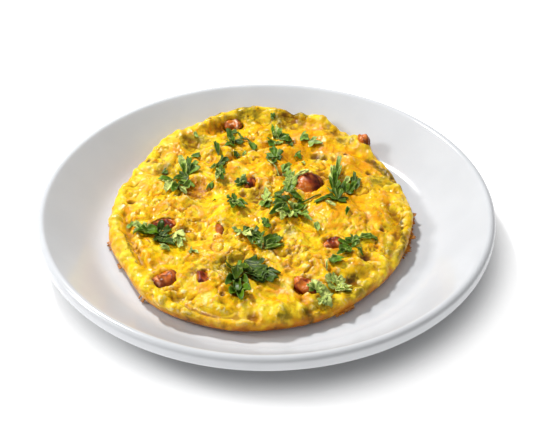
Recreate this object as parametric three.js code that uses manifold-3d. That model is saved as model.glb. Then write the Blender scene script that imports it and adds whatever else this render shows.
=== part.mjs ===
// A round open omelette with tomato pieces, lying on a deep-rimmed dinner plate.
// Millimetres, +Z up. The origin is on the table, under the middle of the plate; +Y runs to the back.
import * as THREE from "three";
import { mergeVertices } from "three/addons/utils/BufferGeometryUtils.js";
import Module from "manifold-3d";

const wasm = await Module();
wasm.setup();

const degrees = Math.PI / 180;

// ---- driving dimensions ----

const plate = {
  radius: 130,
  height: 28,
  floor: 6.5, // height of the surface that the food lies on
  corner: 98, // radius where the floor turns up into the rim
  cornerBlend: 5, // how far the turn reaches to each side of the corner
  lip: 3, // radius of the rounded top edge
  lipUnder: 2.5, // radius of the rounded lower edge
  lipBottom: 19.5, // height of the edge's underside
  footInside: 73,
  footOutside: 79,
  recess: 2.6, // height of the underside inside the foot
  segments: 88,
};

const omelette = {
  length: 195,
  width: 174,
  turn: 81 * degrees, // direction of the long axis
  centre: new THREE.Vector2(-4, 9.5),
  thickness: 12.5, // in the middle
  edgeThickness: 9.5,
  edgeRound: 0.045, // share of the radius that the rounded edge takes
  clearance: 0.3, // between the omelette and what it touches
  climbStart: 78, // distance from the plate's axis where the food starts to climb the rim
  climb: 7.6, // how much higher its top is at the end of the climb
  climbEnd: 107,
  segments: 76,
  topRings: 13,
  edgeSteps: 5,
  bottomRings: 3,
};

// Tomato pieces, set into the top. x and y are the middle, turn is the direction of the length,
// proud is how much stands above the egg, and cut is where a flat face slices the round form, or 1.
const tomatoes = [
  { name: "tomato_half", x: 25.5, y: 29.5, length: 19.5, width: 19.5, height: 12, turn: -12, tilt: 6, proud: 4.4, cut: 1 },
  { name: "tomato_piece_1", x: -9, y: 31, length: 13, width: 8, height: 8, turn: 70, tilt: 8, proud: 2.2, cut: 0.6 },
  { name: "tomato_piece_2", x: -21, y: 93.5, length: 12, width: 9.5, height: 8, turn: 20, tilt: 10, proud: 2.6, cut: 0.7 },
  { name: "tomato_piece_3", x: 60.5, y: 75.5, length: 11, width: 8.5, height: 8.5, turn: 110, tilt: 0, proud: 3.2, cut: 0.8 },
  { name: "tomato_piece_4", x: -26.5, y: -14, length: 14, width: 6.5, height: 8, turn: 96, tilt: 4, proud: 2.2, cut: 0.7 },
  { name: "tomato_piece_5", x: -55, y: -54.5, length: 17, width: 13, height: 9, turn: 32, tilt: -10, proud: 2.8, cut: 0.55 },
  { name: "tomato_piece_6", x: -34.5, y: -54.5, length: 12, width: 10, height: 8, turn: 100, tilt: 6, proud: 2.2, cut: 0.6 },
  { name: "tomato_piece_7", x: 37.5, y: -25, length: 14, width: 10, height: 8, turn: 30, tilt: 5, proud: 2.4, cut: 0.6 },
  { name: "tomato_piece_8", x: 22, y: -59.5, length: 18, width: 12, height: 9, turn: -30, tilt: 4, proud: 2.6, cut: 0.6 },
  { name: "tomato_piece_9", x: -58, y: -6, length: 15, width: 10, height: 8, turn: 15, tilt: 4, proud: 2, cut: 0.7 },
];
const tomatoRound = { around: 12, along: 7 };

const colours = {
  porcelain: 0xeeedeb,
  egg: 0xf4b81c,
  tomato: 0xa5331a,
};

// ---- materials ----

const finish = (color, roughness) => new THREE.MeshStandardMaterial({ color, roughness, metalness: 0 });
const materials = {
  porcelain: finish(colours.porcelain, 0.12),
  egg: finish(colours.egg, 0.4),
  tomato: finish(colours.tomato, 0.25),
};

// ---- solids ----

// A closed geometry as a solid that booleans can use, after a placement.
function solidOf(geometry, placement = new THREE.Matrix4()) {
  const bare = geometry.clone().applyMatrix4(placement);
  bare.deleteAttribute("normal");
  bare.deleteAttribute("uv");
  const merged = mergeVertices(bare, 1e-3);
  return new wasm.Manifold(
    new wasm.Mesh({
      numProp: 3,
      vertProperties: merged.attributes.position.array,
      triVerts: new Uint32Array(merged.index.array),
    }),
  );
}

function geometryOf(solid) {
  const mesh = solid.getMesh();
  const geometry = new THREE.BufferGeometry();
  geometry.setAttribute("position", new THREE.BufferAttribute(mesh.vertProperties, 3));
  geometry.setIndex(new THREE.BufferAttribute(mesh.triVerts, 1));
  geometry.computeVertexNormals();
  return geometry;
}

// A profile of (radius, height) points turned about the Z axis.
function turned(profile, segments) {
  return new THREE.LatheGeometry(profile, segments).rotateX(90 * degrees);
}

// ---- plate ----

const lipCentre = new THREE.Vector2(plate.radius - plate.lip, plate.height - plate.lip);
const rimRun = lipCentre.x - plate.corner;
const rimRise = lipCentre.y - plate.floor;
// The rim leaves the corner along the tangent of the rounded lip.
const rimAngle = Math.atan2(rimRise, rimRun) + Math.asin(plate.lip / Math.hypot(rimRun, rimRise));

// Height of the plate's upper surface at a distance from its axis, inside the lip.
function plateSurface(r) {
  const slope = Math.tan(rimAngle);
  const into = r - (plate.corner - plate.cornerBlend);
  if (into <= 0) return plate.floor;
  if (into >= 2 * plate.cornerBlend) return plate.floor + slope * (r - plate.corner);
  return plate.floor + (slope * into * into) / (4 * plate.cornerBlend);
}

function onCircle(centre, radius, angle) {
  return new THREE.Vector2(centre.x + radius * Math.cos(angle), centre.y + radius * Math.sin(angle));
}

// A quarter of a circle, from one angle to 90 degrees further on.
function quarter(centre, radius, from, steps) {
  const points = [];
  for (let i = 0; i <= steps; i++) points.push(onCircle(centre, radius, (from + (90 * i) / steps) * degrees));
  return points;
}

function plateProfile() {
  const at = (r, z) => new THREE.Vector2(r, z);
  const underLip = at(plate.radius - plate.lipUnder, plate.lipBottom + plate.lipUnder);
  const wallStep = 1.3; // the foot's walls lean this far out of plumb
  const wall = 4.5; // thickness of the rim, square to its surface
  const underRim = (r) => plateSurface(r) - wall / Math.cos(rimAngle);
  const blendStart = plate.corner - plate.cornerBlend;
  const blendSteps = 4;
  const profile = [
    at(0, plate.recess),
    at(plate.footInside - wallStep, plate.recess),
    at(plate.footInside, 0),
    at(plate.footOutside, 0),
    at(plate.footOutside + wallStep, plate.recess - 0.4),
    at(plate.corner - 4, plate.recess - 0.2),
    at(plate.corner + 4, underRim(plate.corner + 6) - 1),
    at(underLip.x - 3.5, underRim(underLip.x - 3.5)),
    ...quarter(underLip, plate.lipUnder, -90, 3),
    ...quarter(lipCentre, plate.lip, 0, 3),
    onCircle(lipCentre, plate.lip, 90 * degrees + rimAngle),
  ];
  for (let i = blendSteps; i >= 0; i--) {
    const r = blendStart + (2 * plate.cornerBlend * i) / blendSteps;
    profile.push(at(r, plateSurface(r)));
  }
  profile.push(at(0, plate.floor));
  return profile;
}

// ---- omelette ----

const meanRadius = (omelette.length + omelette.width) / 4;
const stretch = (omelette.length - omelette.width) / 4;

// Distance from the omelette's centre to its edge. It is a poured round: an oval with a few lobes.
function outline(angle) {
  return (
    meanRadius +
    stretch * Math.cos(2 * (angle - omelette.turn)) +
    0.9 * Math.cos(3 * angle + 57 * degrees) +
    0.6 * Math.cos(4 * angle + 50 * degrees) +
    0.7 * Math.cos(7 * angle + 112 * degrees) +
    0.5 * Math.cos(11 * angle)
  );
}

// Swells and lumps of the set egg.
function lumps(x, y) {
  const swell = Math.sin(x / 17 + 1.1) * Math.cos(y / 21 - 0.4);
  const lump = Math.sin((x + y) / 10) * Math.sin((x - y) / 12 + 0.7);
  const knob = Math.sin(x / 6.3 - y / 9.1) * Math.cos(y / 5.9 + x / 13);
  return 0.8 * swell + 0.8 * lump + 0.6 * knob;
}

// A shallow fold runs just inside the edge, deepest on the left and on the right.
function foldDepth(share, angle) {
  const across = Math.exp(-(((share - 0.87) / 0.035) ** 2));
  return 1.3 * across * Math.cos(angle - 8 * degrees) ** 2;
}

function climb(r) {
  const share = Math.max(0, (r - omelette.climbStart) / (omelette.climbEnd - omelette.climbStart));
  return omelette.climb * share * share;
}

// Height of the egg's top. share runs from 0 in the middle to 1 at the edge.
function crown(x, y, share, angle) {
  const thick = omelette.thickness + (omelette.edgeThickness - omelette.thickness) * share * share;
  const calm = 1 - share ** 6; // the rounded edge keeps its form
  const base = plate.floor + omelette.clearance + climb(Math.hypot(x, y));
  return base + thick + calm * (lumps(x, y) - foldDepth(share, angle));
}

// The omelette as a turned profile of shares, then each point moved to its real place.
function omeletteBody() {
  const inner = 1 - omelette.edgeRound;
  const profile = [];
  for (let i = 0; i < omelette.bottomRings; i++) profile.push(new THREE.Vector2((inner * i) / omelette.bottomRings, 0));
  for (let i = 0; i <= omelette.edgeSteps; i++) {
    const a = Math.PI * (i / omelette.edgeSteps - 0.5);
    profile.push(new THREE.Vector2(inner + omelette.edgeRound * Math.cos(a), (1 + Math.sin(a)) / 2));
  }
  for (let i = omelette.topRings - 1; i >= 0; i--) profile.push(new THREE.Vector2((inner * i) / omelette.topRings, 1));

  const geometry = turned(profile, omelette.segments);
  const place = geometry.attributes.position;
  for (let i = 0; i < place.count; i++) {
    const angle = Math.atan2(place.getY(i), place.getX(i));
    const share = Math.hypot(place.getX(i), place.getY(i));
    const reach = share * outline(angle);
    const x = omelette.centre.x + reach * Math.cos(angle);
    const y = omelette.centre.y + reach * Math.sin(angle);
    const bottom = plateSurface(Math.hypot(x, y)) + omelette.clearance;
    const height = place.getZ(i) * (crown(x, y, share, angle) - bottom);
    place.setXYZ(i, x, y, bottom + height);
  }
  return geometry;
}

// ---- tomato ----

// A round form sliced flat on one side. grow makes it larger all round, for the pocket it sits in.
function tomatoForm(piece, grow = 0) {
  const form = new THREE.SphereGeometry(1, tomatoRound.around, tomatoRound.along).rotateX(90 * degrees);
  const place = form.attributes.position;
  for (let i = 0; i < place.count; i++) place.setY(i, Math.min(place.getY(i), piece.cut));
  form.scale(piece.length / 2 + grow, piece.width / 2 + grow, piece.height / 2 + grow);
  return form;
}

function tomatoMesh(piece) {
  const mesh = new THREE.Mesh(tomatoForm(piece), materials.tomato);
  mesh.name = piece.name;
  const away = new THREE.Vector2(piece.x, piece.y).sub(omelette.centre);
  const share = away.length() / outline(away.angle());
  const top = crown(piece.x, piece.y, Math.min(share, 1), away.angle());
  mesh.position.set(piece.x, piece.y, top + piece.proud - piece.height / 2);
  mesh.rotation.set(0, piece.tilt * degrees, piece.turn * degrees, "ZYX");
  mesh.updateMatrix();
  return mesh;
}

// ---- assembly ----

const group = new THREE.Group();

const plateMesh = new THREE.Mesh(turned(plateProfile(), plate.segments), materials.porcelain);
plateMesh.name = "plate";
group.add(plateMesh);

let egg = solidOf(omeletteBody());
for (const piece of tomatoes) {
  const mesh = tomatoMesh(piece);
  group.add(mesh);
  egg = egg.subtract(solidOf(tomatoForm(piece, omelette.clearance), mesh.matrix));
}
const eggMesh = new THREE.Mesh(geometryOf(egg), materials.egg);
eggMesh.name = "omelette";
group.add(eggMesh);

export default group;
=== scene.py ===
# A round open omelette with tomato pieces and chopped herbs on a deep-rimmed plate
import math
import random

import bmesh
import bpy
import numpy as np
from mathutils import Matrix, Vector, noise
from mathutils.bvhtree import BVHTree


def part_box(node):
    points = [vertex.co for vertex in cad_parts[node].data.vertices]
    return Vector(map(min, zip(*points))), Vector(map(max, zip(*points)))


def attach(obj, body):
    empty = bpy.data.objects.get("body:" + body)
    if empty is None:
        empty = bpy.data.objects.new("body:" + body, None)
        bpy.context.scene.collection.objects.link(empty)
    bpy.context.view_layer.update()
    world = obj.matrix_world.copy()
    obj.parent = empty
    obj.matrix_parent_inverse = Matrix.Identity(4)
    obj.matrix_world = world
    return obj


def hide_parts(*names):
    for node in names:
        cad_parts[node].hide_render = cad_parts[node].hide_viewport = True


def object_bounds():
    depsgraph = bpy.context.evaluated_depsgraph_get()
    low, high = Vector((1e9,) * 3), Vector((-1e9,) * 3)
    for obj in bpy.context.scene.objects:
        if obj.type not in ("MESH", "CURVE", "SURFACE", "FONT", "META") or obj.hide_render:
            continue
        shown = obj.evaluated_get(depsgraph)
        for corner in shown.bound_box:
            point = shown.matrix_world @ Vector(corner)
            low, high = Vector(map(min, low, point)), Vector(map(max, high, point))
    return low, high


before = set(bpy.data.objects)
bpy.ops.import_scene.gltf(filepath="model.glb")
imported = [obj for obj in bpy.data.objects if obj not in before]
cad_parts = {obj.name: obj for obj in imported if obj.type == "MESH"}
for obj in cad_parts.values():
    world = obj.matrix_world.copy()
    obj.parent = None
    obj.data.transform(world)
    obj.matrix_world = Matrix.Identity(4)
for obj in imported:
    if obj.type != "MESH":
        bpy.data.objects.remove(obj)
cadLow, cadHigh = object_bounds()
mm = 0.001
print("frame loaded:", len(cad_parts), "nodes")


camera = {
    "lens": 85,
    "sensor": 36,
    "distance": 0.7212,
    "elevation": math.radians(37.57),
    "aim": Vector((0.0006, -0.0043, 0.018)),
}


def makeCamera(settings):
    data = bpy.data.cameras.new("camera")
    data.lens = settings["lens"]
    data.sensor_width = settings["sensor"]
    data.clip_start = 0.01
    holder = bpy.data.objects.new("camera", data)
    bpy.context.scene.collection.objects.link(holder)
    tilt = settings["elevation"]
    back = Vector((0, -math.cos(tilt), math.sin(tilt)))
    holder.location = settings["aim"] + back * settings["distance"]
    holder.rotation_euler = (math.pi / 2 - tilt, 0, 0)
    bpy.context.scene.camera = holder


makeCamera(camera)
print("camera placed")


def smooth(low, high, value):
    share = min(1, max(0, (value - low) / (high - low)))
    return share * share * (3 - 2 * share)


def shadeSmooth(mesh, smoothShade=True):
    mesh.polygons.foreach_set("use_smooth", [smoothShade] * len(mesh.polygons))


def finishPiece(bm, name, material, smoothShade=True):
    # the bmesh becomes a piece at the origin
    mesh = bpy.data.meshes.new(name)
    bm.to_mesh(mesh)
    bm.free()
    mesh.materials.append(material)
    shadeSmooth(mesh, smoothShade)
    piece = bpy.data.objects.new(name, mesh)
    bpy.context.scene.collection.objects.link(piece)
    return piece


def mergedCopy(cadName):
    # a CAD node's own shape, with its loose triangles joined up
    bm = bmesh.new()
    bm.from_mesh(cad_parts[cadName].data)
    bmesh.ops.remove_doubles(bm, verts=bm.verts, dist=0.01 * mm)
    return bm


def applied(piece):
    # the piece's mesh with its modifiers in it
    deps = bpy.context.evaluated_depsgraph_get()
    mesh = bpy.data.meshes.new_from_object(piece.evaluated_get(deps))
    piece.modifiers.clear()
    piece.data = mesh
    return piece


def subdivide(piece, levels):
    step = piece.modifiers.new("smoothing", "SUBSURF")
    step.levels = levels
    step.render_levels = levels


def evenedSolid(cadName, name, material, voxel, rounds):
    # a CAD solid with an even fine surface and its facets smoothed away
    bm = mergedCopy(cadName)
    bmesh.ops.recalc_face_normals(bm, faces=bm.faces)
    piece = finishPiece(bm, name, material)
    even = piece.modifiers.new("even", "REMESH")
    even.mode = "VOXEL"
    even.voxel_size = voxel * mm
    rounded = piece.modifiers.new("rounded", "SMOOTH")
    rounded.factor = 0.5
    rounded.iterations = rounds
    return applied(piece)


def thickened(piece, thickness, offset):
    # a sheet of faces gets its wall, inward for -1 and outward for 1
    wall = piece.modifiers.new("thickness", "SOLIDIFY")
    wall.thickness = thickness * mm
    wall.offset = offset
    return applied(piece)


def newMaterial(name):
    material = bpy.data.materials.new(name)
    material.use_nodes = True
    tree = material.node_tree
    shader = tree.nodes["Principled BSDF"]
    return material, tree, shader


def node(tree, kind, inputs=None, **settings):
    made = tree.nodes.new(kind)
    for key, value in settings.items():
        setattr(made, key, value)
    for key, value in (inputs or {}).items():
        if isinstance(value, bpy.types.NodeSocket):
            tree.links.new(value, made.inputs[key])
        else:
            made.inputs[key].default_value = value
    return made


def colour(hexText):
    # the linear colour of a plain six-figure code
    values = []
    for i in (0, 2, 4):
        v = int(hexText[i:i + 2], 16) / 255
        values.append(v / 12.92 if v <= 0.04045 else ((v + 0.055) / 1.055) ** 2.4)
    return (*values, 1)


def mixed(tree, share, first, second):
    return node(tree, "ShaderNodeMix", {0: share, 6: first, 7: second}, data_type="RGBA").outputs[2]


def combined(tree, operation, first, second, third=0.0):
    return node(tree, "ShaderNodeMath", {0: first, 1: second, 2: third}, operation=operation).outputs[0]


def times(tree, first, second):
    return combined(tree, "MULTIPLY", first, second)


def between(tree, value, low, high, least=0.0, most=1.0):
    # a value's share of the way from low to high, spread from least to most
    return node(tree, "ShaderNodeMapRange", {
        "Value": value, "From Min": low, "From Max": high, "To Min": least, "To Max": most,
    }).outputs["Result"]


def attribute(tree, name):
    return node(tree, "ShaderNodeAttribute", attribute_name=name).outputs["Fac"]


def buildMottleGroup():
    # cloudy mask between two levels, used by every finish
    group = bpy.data.node_groups.new("mottle", "ShaderNodeTree")
    for name, value in (("Scale", 100.0), ("Detail", 4.0), ("Low", 0.4), ("High", 0.6)):
        socket = group.interface.new_socket(name, in_out="INPUT", socket_type="NodeSocketFloat")
        socket.default_value = value
    group.interface.new_socket("Mask", in_out="OUTPUT", socket_type="NodeSocketFloat")
    start = group.nodes.new("NodeGroupInput")
    end = group.nodes.new("NodeGroupOutput")
    place = node(group, "ShaderNodeTexCoord")
    clouds = node(group, "ShaderNodeTexNoise", {
        "Vector": place.outputs["Object"],
        "Scale": start.outputs["Scale"],
        "Detail": start.outputs["Detail"],
    })
    levels = node(group, "ShaderNodeMapRange", {
        "Value": clouds.outputs["Fac"],
        "From Min": start.outputs["Low"],
        "From Max": start.outputs["High"],
    }, interpolation_type="SMOOTHSTEP")
    group.links.new(levels.outputs["Result"], end.inputs["Mask"])
    return group


mottleGroup = buildMottleGroup()


def mottle(tree, scale, low=0.4, high=0.6, detail=4.0):
    return node(tree, "ShaderNodeGroup", {
        "Scale": scale, "Detail": detail, "Low": low, "High": high,
    }, node_tree=mottleGroup).outputs["Mask"]


def layered(tree, base, mask, clouds, strength, over):
    # a colour laid over another where the mask and its clouds let it show
    share = times(tree, mask, mottle(tree, *clouds)) if clouds else mask
    return mixed(tree, times(tree, share, strength), base, over)


def grained(tree, scale, detail, distortion=0.0):
    place = node(tree, "ShaderNodeTexCoord").outputs["Object"]
    return node(tree, "ShaderNodeTexNoise", {
        "Vector": place, "Scale": scale, "Detail": detail, "Distortion": distortion,
    }).outputs["Fac"]


def bump(tree, shader, height, strength, distance):
    made = node(tree, "ShaderNodeBump", {
        "Height": height, "Strength": strength, "Distance": distance * mm,
    })
    tree.links.new(made.outputs["Normal"], shader.inputs["Normal"])


def setFinish(tree, shader, base, rough, ior=1.5, specular=0.5):
    tree.links.new(base, shader.inputs["Base Color"])
    tree.links.new(rough, shader.inputs["Roughness"])
    shader.inputs["IOR"].default_value = ior
    shader.inputs["Specular IOR Level"].default_value = specular


def setUnderLight(shader, weight, radius, scale):
    # light that goes in and comes out again nearby
    shader.inputs["Subsurface Weight"].default_value = weight
    shader.inputs["Subsurface Radius"].default_value = radius
    shader.inputs["Subsurface Scale"].default_value = scale * mm


plate = {
    "radius": cadHigh.x,
    "height": 28 * mm,
    "floor": 6.5 * mm,
    "corner": 98 * mm,
    "cornerBlend": 5 * mm,
    "lip": 3 * mm,
    "lipUnder": 2.5 * mm,
    "lipBottom": 19.5 * mm,
    "footInside": 73 * mm,
    "footOutside": 79 * mm,
    "recess": 2.6 * mm,
    "wall": 4.5 * mm,
    "footRound": 0.8 * mm,
    "steps": 128,
    "gloss": 0.13,
    "bareRough": 0.6,
    "specular": 0.4,
    "bump": (0.06, 0.5),  # strength, depth in millimetres
    "glaze": colour("d7d9dc"),
    "glazeLight": colour("dbdde0"),
    "bisque": colour("d9d2c8"),
}


def plateMaterial(settings):
    material, tree, shader = newMaterial("porcelain")
    glaze = mixed(tree, mottle(tree, 35, 0.35, 0.65), settings["glaze"], settings["glazeLight"])
    place = node(tree, "ShaderNodeTexCoord").outputs["Object"]
    height = node(tree, "ShaderNodeSeparateXYZ", {"Vector": place}).outputs["Z"]
    bare = between(tree, height, 0.6 * mm, 0.2 * mm)  # the foot stands unglazed
    rough = combined(tree, "MULTIPLY_ADD", bare, settings["bareRough"], settings["gloss"])
    setFinish(tree, shader, mixed(tree, bare, glaze, settings["bisque"]), rough, specular=settings["specular"])
    bump(tree, shader, grained(tree, 55.0, 1.0), *settings["bump"])
    return material


def arcPoints(centre, radius, start, stop, steps):
    angles = [math.radians(start + (stop - start) * i / steps) for i in range(steps + 1)]
    return [(centre[0] + radius * math.cos(a), centre[1] + radius * math.sin(a)) for a in angles]


def rimSlope(size):
    # the rim leaves the corner straight and just touches the rolled lip
    run = size["radius"] - size["lip"] - size["corner"]
    rise = size["height"] - size["lip"] - size["floor"]
    return math.atan2(rise, run) + math.asin(size["lip"] / math.hypot(run, rise))


def plateSurface(size, r):
    # height of the eating surface at a distance from the middle
    blend = size["cornerBlend"]
    into = r - size["corner"] + blend
    if into <= 0:
        return size["floor"]
    if into >= 2 * blend:
        return size["floor"] + math.tan(rimSlope(size)) * (r - size["corner"])
    return size["floor"] + math.tan(rimSlope(size)) * into * into / (4 * blend)


def plateProfile(size):
    lipAt = (size["radius"] - size["lip"], size["height"] - size["lip"])
    underAt = (size["radius"] - size["lipUnder"], size["lipBottom"] + size["lipUnder"])
    slope = rimSlope(size)
    blend = size["cornerBlend"]

    def under(r):
        return plateSurface(size, r) - size["wall"] / math.cos(slope)

    corner = size["corner"]
    foot = size["footRound"]
    profile = [(0, size["recess"]), (40 * mm, size["recess"])]
    profile += arcPoints((size["footInside"] - 2 * foot, size["recess"] - foot), foot, 90, 45, 2)
    profile += arcPoints((size["footInside"] + foot, foot), foot, 200, 270, 4)
    profile += arcPoints((size["footOutside"] - foot, foot), foot, 270, 340, 4)
    profile += [
        (size["footOutside"] + 2 * foot, size["recess"] - foot / 2),
        (corner - 8 * mm, size["recess"] - 0.3 * mm),
        (corner - 1 * mm, size["recess"] + 0.4 * mm),
        (corner + 4 * mm, under(corner + 6 * mm) - 1 * mm),
        (corner + 12 * mm, under(corner + 12 * mm)),
        (underAt[0] - 5.5 * mm, under(underAt[0] - 5.5 * mm)),
        (underAt[0] - 2.5 * mm, size["lipBottom"] + 0.5 * mm),
    ]
    profile += arcPoints(underAt, size["lipUnder"], -90, 0, 5)
    profile += arcPoints(lipAt, size["lip"], 0, 90 + math.degrees(slope), 8)
    steps = 9
    for i in range(steps, -1, -1):
        r = corner - blend + (lipAt[0] - 4 * mm - corner + blend) * (i / steps) ** 1.6
        profile.append((r, plateSurface(size, r)))
    profile += [(70 * mm, size["floor"]), (0, size["floor"])]
    return profile


def makePlate(size):
    bm = bmesh.new()
    points = [bm.verts.new((r, 0, z)) for r, z in plateProfile(size)]
    lines = [bm.edges.new(pair) for pair in zip(points, points[1:])]
    bmesh.ops.spin(bm, geom=points + lines, cent=(0, 0, 0), axis=(0, 0, 1),
                   angle=2 * math.pi, steps=size["steps"], use_merge=True)
    bmesh.ops.remove_doubles(bm, verts=bm.verts, dist=0.01 * mm)
    bmesh.ops.dissolve_degenerate(bm, edges=bm.edges, dist=0.001 * mm)
    bmesh.ops.recalc_face_normals(bm, faces=bm.faces)
    piece = finishPiece(bm, "dinner_plate", plateMaterial(size))
    subdivide(piece, 1)
    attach(piece, "root")
    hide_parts("plate")


makePlate(plate)
print("plate made")


studio = {
    "floorRadius": 4.0,
    "floorDrop": 0.15 * mm,
    "shade": (0.6, 0.6, 0.6, 1),
    "shadeCentre": (-4.5 * mm, -5 * mm, 0),
    # the floor's painted light rises between these distances, leaving a painted shadow round the plate
    "paintedLightStart": 117 * mm,
    "paintedLightEnd": 146 * mm,
    "paintedFloorLight": 0.8,
    "sky": (1.0, 1.0, 1.0, 1),
    "skyLow": 0.08,
    "skyHigh": 0.49,
    "lamps": [
        # name, place, size, watts
        ("key", (-0.46, 0.66, 1.04), (0.15, 0.15), 14.4),
        ("side", (-1.0, 0.05, 0.66), (0.3, 0.3), 5.4),
    ],
}


def floorMaterial(settings):
    # a table top that glows with painted light, left dark as a painted shadow where the plate stands
    material, tree, shader = newMaterial("floor")
    place = node(tree, "ShaderNodeTexCoord").outputs["Object"]
    aside = node(tree, "ShaderNodeVectorMath", {0: place, 1: settings["shadeCentre"]}, operation="ADD")
    away = node(tree, "ShaderNodeVectorMath", {0: aside.outputs[0]}, operation="LENGTH").outputs["Value"]
    # painted shadow near the plate, painted light further out
    paintedFloorLight = node(tree, "ShaderNodeMapRange", {
        "Value": away, "From Min": settings["paintedLightStart"], "From Max": settings["paintedLightEnd"],
    }, interpolation_type="SMOOTHSTEP").outputs["Result"]
    shader.inputs["Base Color"].default_value = settings["shade"]
    shader.inputs["Roughness"].default_value = 0.9
    tree.links.new(mixed(tree, paintedFloorLight, (0, 0, 0, 1), (1, 1, 1, 1)), shader.inputs["Emission Color"])
    shader.inputs["Emission Strength"].default_value = settings["paintedFloorLight"]
    return material


def makeFloor(settings):
    bm = bmesh.new()
    bmesh.ops.create_circle(bm, cap_ends=True, segments=64, radius=settings["floorRadius"])
    bmesh.ops.translate(bm, verts=bm.verts, vec=(0, 0, -settings["floorDrop"]))
    floor = finishPiece(bm, "floor", floorMaterial(settings), False)


def makeLamp(name, place, size, watts):
    data = bpy.data.lights.new(name, "AREA")
    data.shape = "RECTANGLE"
    data.size, data.size_y = size
    data.energy = watts
    lamp = bpy.data.objects.new(name, data)
    lamp.location = place
    lamp.rotation_euler = (Vector((0, 0, 0)) - Vector(place)).to_track_quat("-Z", "Y").to_euler()
    bpy.context.scene.collection.objects.link(lamp)


def makeSky(settings):
    # brightest overhead, dim at the horizon
    world = bpy.data.worlds.new("studio")
    bpy.context.scene.world = world
    world.use_nodes = True
    tree = world.node_tree
    backdrop = tree.nodes["Background"]
    backdrop.inputs["Color"].default_value = settings["sky"]
    upward = node(tree, "ShaderNodeTexCoord").outputs["Generated"]
    height = node(tree, "ShaderNodeSeparateXYZ", {"Vector": upward}).outputs["Z"]
    strength = node(tree, "ShaderNodeMapRange", {
        "Value": height, "To Min": settings["skyLow"], "To Max": settings["skyHigh"]})
    tree.links.new(strength.outputs["Result"], backdrop.inputs["Strength"])


makeFloor(studio)
makeSky(studio)
for lampRow in studio["lamps"]:
    makeLamp(*lampRow)
bpy.context.scene.view_settings.view_transform = "Standard"
print("floor and lamps made")


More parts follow.
